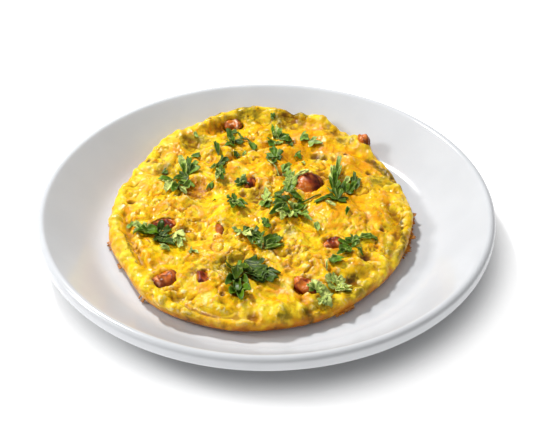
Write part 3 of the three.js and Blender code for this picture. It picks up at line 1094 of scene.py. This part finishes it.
herbs = {
    "seed": 5,
    "thickness": 0.28,
    "clearance": 0.2,
    "opening": 1.2,  # half the angle that a blade fans out
    "breadth": 1.3,
    "waves": (0.25, 0.6),
    "folds": (-0.15, 0.35),
    "raised": (0.06, 0.26),  # of the blade's length
    "teeth": (11, 16),
    "toothDepth": 0.09,
    "notch": 0.42,  # depth of the cuts between lobes
    "layer": 0.12,  # step between blades that lie over each other
    "mapReach": 112,  # of the height map that they are laid on
    "mapStep": 0.8,
    "dark": colour("2c3f04"),
    "mid": colour("6c980a"),
    # pale leaf colour, also painted along blade edges as highlight
    "paleAndHighlight": colour("eef88e"),
    "rough": (0.32, 0.55),
    "specular": 0.25,
    "underLight": (0.08, (0.4, 1.0, 0.2), 0.8),
    "bump": (0.4, 0.3),
    # chopped blades: foot x and y, the way it points, length, width, lobes, paleness
    "blades": [
        # left sprig
        (-48, 39, 105, 17, 4, 1, 0.7), (-47, 40, 90, 14, 6, 2, 0.2), (-47, 39, 70, 14, 8, 2, 0.5),
        (-46, 37, -175, 9, 10, 3, 0.1), (-55, 34, 180, 9, 4, 1, 0.4), (-56, 33, -105, 12, 4, 1, 0.9),
        (-59, 33, -110, 4, 4, 2, 0.9), (-52, 31, -100, 14, 4, 1, 0.3), (-52, 30, -65, 12, 6, 2, 0.8),
        (-45, 35, -115, 8, 6, 2, 0.5),
        # long thin sprig
        (-29, 57, 100, 13, 3, 1, 0.2), (-28, 52, 15, 6, 5, 2, 0.1), (-30, 50, -110, 10, 2, 1, 0.6),
        (-28, 54, -85, 15, 4, 2, 0.2), (-28, 41, -80, 14, 4, 2, 0.2), (-28, 44, -95, 14, 3, 1, 0.8),
        # curled leaf at the back
        (-20, 70, 105, 15, 4, 1, 0.2), (-20, 77, -50, 8, 7, 2, 0.1), (-20, 72, -145, 7, 5, 2, 0.3),
        (-18, 84, 165, 5, 4, 1, 0.2), (-11, 75, -60, 9, 3, 1, 0.3),
        # scraps at the back left
        (-46, 60, -10, 6, 3, 1, 0.3), (-63, 45, -10, 4, 5, 2, 0.2), (-18, 63, -85, 9, 3, 2, 0.2),
        (-14, 61, 75, 5, 2, 1, 0.5), (-45, 82, -60, 5, 2, 1, 0.6), (-34, 30, -50, 4, 4, 2, 0.3),
        (-31, 14, -40, 2, 2, 1, 0.4), (-23, 16, -40, 2, 2, 1, 0.5),
        # leaf by the small tomato
        (-13, 29, 150, 6, 7, 2, 0.1), (-15, 29, 75, 8, 4, 2, 0.6), (-16, 31, -25, 5, 4, 1, 0.1),
        # pointed leaf
        (-18, 7, 95, 10, 3, 1, 0.2), (-18, 10, -125, 6, 6, 2, 0.1), (-19, 8, -55, 11, 8, 3, 0.3),
        (-18, 9, -85, 7, 4, 1, 0.7),
        # dark sprig at the left
        (-75, -8, 160, 5, 3, 1, 0.5), (-69, -13, 140, 8, 7, 2, 0.7), (-65, -14, -160, 10, 6, 2, 0.3),
        (-70, -11, -30, 10, 8, 1, 0.3), (-62, -14, 20, 9, 9, 3, 0.1), (-63, -18, -5, 11, 8, 2, 0),
        (-61, -19, -60, 10, 6, 2, 0.1), (-58, -23, -35, 9, 4, 1, 0.1), (-53, -19, -15, 8, 7, 2, 0.9),
        (-49, -21, -80, 10, 5, 2, 0.8),
        # scraps at the left
        (-53, -33, 165, 6, 4, 3, 0.6), (-55, -32, 135, 6, 2, 1, 0.8), (-43, -33, -5, 4, 4, 2, 0.6),
        (-40, -33, -50, 4, 2, 1, 0.8),
        # middle sprig
        (-14, -20, 135, 7, 3, 2, 0.6), (-14, -19, -55, 9, 8, 2, 0.9), (-13, -19, 20, 6, 5, 2, 0.2),
        (-9, -19, -20, 7, 8, 2, 0.1), (-9, -22, -50, 10, 7, 3, 0.5),
        # middle sprig b
        (-6, -22, -35, 6, 8, 2, 0.3), (-1, -29, 60, 14, 6, 1, 0.1), (0, -29, 35, 11, 5, 1, 0.2),
        (-1, -31, 5, 11, 3, 1, 0.5), (-5, -27, -65, 6, 4, 2, 0.5),
        # large dark leaf
        (-17, -44, 0, 7, 8, 2, 0.4), (-12, -38, -45, 14, 7, 2, 0.1), (-10, -48, -40, 11, 8, 2, 0.1),
        (-16, -42, -88, 17, 9, 2, 0.1), (-16, -53, -86, 15, 9, 3, 0.15), (-15, -63, -80, 13, 9, 3, 0.35),
        # large dark leaf b
        (-10, -41, -45, 15, 9, 2, 0.05), (-3, -48, -50, 14, 9, 3, 0.05), (-6, -45, -60, 12, 8, 2, 0.1),
        (-4, -52, -40, 12, 7, 2, 0.1), (-6, -52, -70, 9, 5, 1, 0),
        # back cluster
        (5, 80, 95, 13, 2, 1, 0.4), (7, 80, 90, 12, 4, 2, 0.7), (7, 80, 75, 9, 3, 1, 0.5),
        (8, 79, 35, 7, 8, 3, 0.3), (6, 78, -125, 7, 6, 2, 0.3), (8, 78, -90, 6, 4, 2, 0.6),
        (12, 79, -10, 4, 5, 2, 0.2),
        # two lobed leaf
        (21, 78, -15, 6, 7, 2, 0.5), (26, 74, -20, 9, 6, 2, 0.6),
        # scraps at the back
        (18, 62, -45, 5, 4, 2, 0.3), (22, 56, -80, 7, 2, 1, 0.8), (10, 41, 60, 10, 4, 2, 0.5),
        (3, 99, 25, 3, 3, 2, 0.3), (14, 71, -65, 5, 4, 2, 0.2), (-7, 71, -75, 4, 2, 1, 0.3),
        # leaf behind the middle
        (6, 54, 100, 12, 7, 2, 0.3), (5, 57, 155, 5, 7, 2, 0.3), (6, 57, -55, 5, 5, 2, 0.1),
        (5, 54, -90, 8, 3, 1, 0.2),
        # cluster by the half tomato
        (14, 33, 95, 9, 5, 2, 0.5), (15, 31, 115, 7, 4, 2, 0.6), (14, 27, 45, 6, 6, 2, 0.6),
        (13, 24, 105, 6, 4, 1, 0.6), (12, 18, 50, 7, 6, 2, 0.3), (10, 17, 155, 5, 8, 2, 0.2),
        (9, 14, -155, 5, 5, 3, 0.1), (9, 15, -70, 7, 6, 2, 0.1), (13, 18, -30, 10, 3, 1, 0.3),
        # leaf left of it
        (0, 12, 90, 11, 4, 2, 0.7), (0, 13, -65, 7, 4, 2, 0.8), (0, 12, -110, 9, 4, 1, 0.5),
        (0, 10, -80, 8, 3, 1, 0.4),
        # broad fan
        (12, 7, -150, 8, 8, 3, 0.3), (12, 6, -130, 14, 7, 2, 0.2), (13, 0, -115, 11, 8, 3, 0.8),
        (14, 2, -65, 8, 8, 3, 0.5), (15, 3, 80, 7, 4, 2, 0.7), (16, 1, 55, 10, 4, 1, 0.3),
        (19, 1, -55, 12, 4, 2, 0.5), (20, 4, 55, 7, 2, 1, 0.6), (18, 12, 0, 4, 3, 1, 0.2),
        # tall leaf
        (41, 31, 95, 18, 4, 2, 0.8), (41, 31, 80, 21, 4, 2, 0.6), (40, 20, 85, 19, 5, 2, 0.3),
        (42, 12, 90, 18, 5, 2, 0.2), (42, 15, -60, 7, 8, 2, 0.2), (42, 12, -175, 10, 5, 2, 0.3),
        (36, 12, -155, 9, 3, 1, 0.3), (40, 19, 140, 5, 2, 1, 0.6), (43, 23, 70, 8, 3, 1, 0.1),
        # loop sprig
        (47, 29, 70, 7, 3, 1, 0.8), (47, 24, 95, 8, 3, 1, 0.3), (48, 24, 45, 8, 4, 2, 0.4),
        (52, 29, 85, 12, 3, 2, 0.1), (53, 25, 75, 9, 3, 1, 0.2), (47, 24, 0, 5, 3, 1, 0.3),
        # slivers
        (34, 7, -40, 8, 2, 1, 0.9), (48, 4, -105, 9, 2, 1, 0.4),
        # slivers b
        (28, -8, -80, 9, 3, 1, 0.6), (1, -14, 115, 8, 3, 2, 0.3), (-2, -13, -5, 5, 2, 1, 0.4),
        # right sprig
        (51, -22, -150, 8, 6, 3, 0.3), (47, -28, -150, 7, 8, 3, 0.4), (46, -31, -135, 9, 6, 2, 0.3),
        (49, -23, 45, 4, 5, 2, 0.5), (52, -20, 0, 11, 3, 1, 0.5), (48, -25, 25, 5, 4, 1, 0.6),
        (51, -28, -70, 8, 2, 2, 0.2), (47, -31, -105, 6, 4, 2, 0.6),
        # three-cornered leaf
        (34, -41, -25, 9, 6, 1, 0.4), (33, -43, -90, 8, 1, 1, 0.8),
        # pale fan
        (36, -57, 105, 6, 5, 3, 0.8), (38, -59, 45, 6, 6, 2, 0.9), (38, -60, 0, 8, 6, 2, 0.9),
        (38, -60, -30, 9, 5, 3, 0.9), (38, -60, -85, 7, 4, 2, 0.9), (37, -60, -135, 5, 7, 2, 0.7),
        (40, -62, -20, 6, 3, 1, 0.5), (35, -55, 0, 5, 5, 2, 0.6),
        # pale pair
        (27, -65, 105, 7, 5, 2, 0.9), (27, -65, 55, 4, 4, 2, 0.8), (26, -65, 150, 5, 3, 2, 0.5),
        (27, -66, 20, 5, 5, 2, 0.6), (29, -69, 35, 6, 7, 1, 1), (30, -70, -50, 7, 7, 2, 0.8),
        (29, -70, -65, 6, 4, 2, 0.7),
    ],
    # stalks: points, thickness, height of the middle over the food, paleness
    "stalks": [
        ([(-18, 85), (-15, 79), (-11, 76), (-8, 72)], 0.55, 1.2, 0.3),
        ([(-56, 34), (-52, 36), (-48, 39)], 0.5, 1.0, 0.5),
        ([(-13, 30), (-10, 26)], 0.5, 0.4, 0.0),
        ([(1, 51), (5, 46), (8, 39)], 0.5, 0.6, 0.8),
        ([(15, 32), (18, 34), (22, 36), (25, 33.5), (22, 31), (18, 32)], 0.7, 1.0, 1.0),
        ([(15, 15), (21, 13), (27, 15), (32, 17)], 0.5, 0.6, 0.3),
        ([(29, 8), (34, 11), (39, 13)], 0.5, 0.6, 0.4),
        ([(-77, -7), (-69, -13), (-61, -17)], 0.5, 0.8, 0.4),
        ([(-18, -16), (-15, -19), (-11, -21)], 0.45, 0.8, 0.6),
        ([(51, -22), (56, -20), (63, -19)], 0.6, 1.0, 0.5),
        ([(36, -58), (39, -57), (42, -59)], 0.5, 1.6, 1.0),
        ([(0, -31), (5, -31), (10, -30)], 0.5, 0.6, 0.5),
    ],
}


def heightMap(pieces, spread, step):
    # how high the food stands over a grid of places, as two lookups: true and softened
    trees = []
    for piece in pieces:
        bm = bmesh.new()
        bm.from_mesh(piece.data)
        trees.append(BVHTree.FromBMesh(bm))
        bm.free()
    count = int(2 * spread / step) + 1
    heights = np.zeros((count, count))
    down = Vector((0, 0, -1))
    for i in range(count):
        for j in range(count):
            start = Vector((-spread + i * step, -spread + j * step, 60)) * mm
            for tree in trees:
                hit = tree.ray_cast(start, down)[0]
                if hit is not None:
                    heights[i, j] = max(heights[i, j], hit.z / mm)
    soft = heights.copy()
    for _ in range(4):
        soft = (soft + np.roll(soft, 1, 0) + np.roll(soft, -1, 0)
                + np.roll(soft, 1, 1) + np.roll(soft, -1, 1)) / 5

    def lookup(table, x, y):
        u = min(count - 1.001, max(0, (x + spread) / step))
        v = min(count - 1.001, max(0, (y + spread) / step))
        i, j = int(u), int(v)
        fu, fv = u - i, v - j
        near = table[i, j] * (1 - fv) + table[i, j + 1] * fv
        far = table[i + 1, j] * (1 - fv) + table[i + 1, j + 1] * fv
        return near * (1 - fu) + far * fu

    return lambda x, y: lookup(heights, x, y), lambda x, y: lookup(soft, x, y)


def makeBlade(bm, row, order, ground, softGround, settings, rng):
    # a lobed blade, thin at its foot, wavy and lifted at its tip, laid on the food
    x, y, aim, length, width, lobes, tone = row
    made = bmesh.ops.create_grid(bm, x_segments=8, y_segments=6 + 5 * lobes, size=1)
    turn = math.radians(aim)
    opening, notch = settings["opening"], settings["notch"]
    wave, phase = rng.uniform(*settings["waves"]), rng.uniform(0, 6.28)
    fold = rng.uniform(*settings["folds"])
    raised = rng.uniform(*settings["raised"]) * length
    teeth = rng.uniform(*settings["teeth"])
    toneLayer = bm.verts.layers.float["tone"]
    edgeHighlightLayer = bm.verts.layers.float["edgeHighlight"]
    for v in made["verts"]:
        along, side = (v.co.x + 1) / 2, v.co.y
        lobe = abs(math.cos(lobes * math.pi / 2 * side)) ** 0.6
        tooth = 1 + settings["toothDepth"] * math.sin(side * teeth + phase)
        reach = along * (1 - notch + notch * lobe) * tooth * (1 - 0.25 * side * side)
        lx = length * reach * math.cos(side * opening)
        ly = settings["breadth"] * width / 2 * reach * math.sin(side * opening) / 0.62
        gx = x + lx * math.cos(turn) - ly * math.sin(turn)
        gy = y + lx * math.sin(turn) + ly * math.cos(turn)
        lift = raised * along ** 1.7 + fold * abs(ly)
        lift += wave * along * math.sin(5 * side + phase + 3 * along)
        lift += 0.22 * (1 - lobe) * along * lobes
        floorAt = ground(gx, gy) + settings["clearance"]
        layer = settings["layer"] * (order % 4)
        rest = max(floorAt, softGround(gx, gy) + settings["clearance"] + layer)
        v.co = Vector((gx, gy, max(floorAt, rest + max(-0.2, lift)))) * mm
        v[toneLayer] = min(1, max(0, tone + 0.15 * (along - 0.5)))
        # the edges and notches of a blade get a painted highlight
        v[edgeHighlightLayer] = 1 - lobe if lobes > 1 else abs(side)
    bmesh.ops.remove_doubles(bm, verts=made["verts"], dist=0.02 * mm)


def makeStalk(bm, points, thickness, raised, tone, ground):
    # a thin round stalk along a smooth line over the food
    count = len(points)
    fine = []
    for i in range(count - 1):
        before, a = points[max(0, i - 1)], points[i]
        b, after = points[i + 1], points[min(count - 1, i + 2)]
        for k in range(5):
            t = k / 5
            fine.append([0.5 * (2 * a[n] + (b[n] - before[n]) * t
                                + (2 * before[n] - 5 * a[n] + 4 * b[n] - after[n]) * t * t
                                + (3 * a[n] - before[n] - 3 * b[n] + after[n]) * t ** 3) for n in (0, 1)])
    fine.append(list(points[-1]))
    last = len(fine) - 1
    line = []
    for i, (x, y) in enumerate(fine):
        z = ground(x, y) + thickness + raised * math.sin(math.pi * i / last)
        line.append(Vector((x, y, z)) * mm)
    toneLayer = bm.verts.layers.float["tone"]
    edgeHighlightLayer = bm.verts.layers.float["edgeHighlight"]
    rings = []
    for i, at in enumerate(line):
        ahead = (line[min(last, i + 1)] - line[max(0, i - 1)]).normalized()
        place = Matrix.Translation(at) @ ahead.to_track_quat("Z", "Y").to_matrix().to_4x4()
        radius = thickness * (0.75 + 0.25 * math.sin(math.pi * i / last)) * mm
        ring = bmesh.ops.create_circle(bm, segments=7, radius=radius, matrix=place)["verts"]
        for v in ring:
            v[toneLayer] = tone
            v[edgeHighlightLayer] = 0.5
        rings.append(ring)
    for first, second in zip(rings, rings[1:]):
        edges = {e for v in first + second for e in v.link_edges
                 if all(w in first for w in e.verts) or all(w in second for w in e.verts)}
        bmesh.ops.bridge_loops(bm, edges=list(edges))
    for ring in (rings[0], rings[-1]):
        bmesh.ops.contextual_create(bm, geom=ring)


def herbMaterial(settings):
    material, tree, shader = newMaterial("herb")
    tone = attribute(tree, "tone")
    base = mixed(tree, between(tree, tone, 0.0, 0.5), settings["dark"], settings["mid"])
    base = mixed(tree, between(tree, tone, 0.45, 1.0), base, settings["paleAndHighlight"])
    # pale along the edges and notches of the blades: painted highlight
    edgeHighlights = between(tree, attribute(tree, "edgeHighlight"), 0.75, 1.0)
    base = layered(tree, base, edgeHighlights, None, 0.4, settings["paleAndHighlight"])
    base = layered(tree, base, mottle(tree, 420, 0.42, 0.6), None, 0.6, settings["dark"])
    rough = between(tree, mottle(tree, 260, 0.35, 0.65), 0.0, 1.0, *settings["rough"])
    setFinish(tree, shader, base, rough, specular=settings["specular"])
    setUnderLight(shader, *settings["underLight"])
    bump(tree, shader, grained(tree, 800.0, 2.0), *settings["bump"])
    return material


def herbMesh():
    bm = bmesh.new()
    bm.verts.layers.float.new("tone")
    bm.verts.layers.float.new("edgeHighlight")
    return bm


def makeHerbs(settings, ground, softGround):
    rng = random.Random(settings["seed"])
    finish = herbMaterial(settings)
    bm = herbMesh()
    for order, row in enumerate(settings["blades"]):
        makeBlade(bm, row, order, ground, softGround, settings, rng)
    bmesh.ops.dissolve_degenerate(bm, edges=bm.edges, dist=0.005 * mm)
    bm.normal_update()
    bmesh.ops.reverse_faces(bm, faces=[f for f in bm.faces if f.normal.z < 0])
    leaves = thickened(finishPiece(bm, "chopped_herb_leaves", finish), settings["thickness"], 1)
    bm = herbMesh()
    for points, thickness, raised, tone in settings["stalks"]:
        makeStalk(bm, points, thickness, raised, tone, ground)
    bmesh.ops.recalc_face_normals(bm, faces=bm.faces)
    stalks = finishPiece(bm, "herb_stalks", finish)
    for piece in (leaves, stalks):
        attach(piece, "root")
        piece.data.calc_loop_triangles()
        print(piece.name, "made:", len(piece.data.loop_triangles), "triangles")


foodHeight, softHeight = heightMap([eggPiece] + tomatoPieces, herbs["mapReach"], herbs["mapStep"])
print("height map made")
makeHerbs(herbs, foodHeight, softHeight)
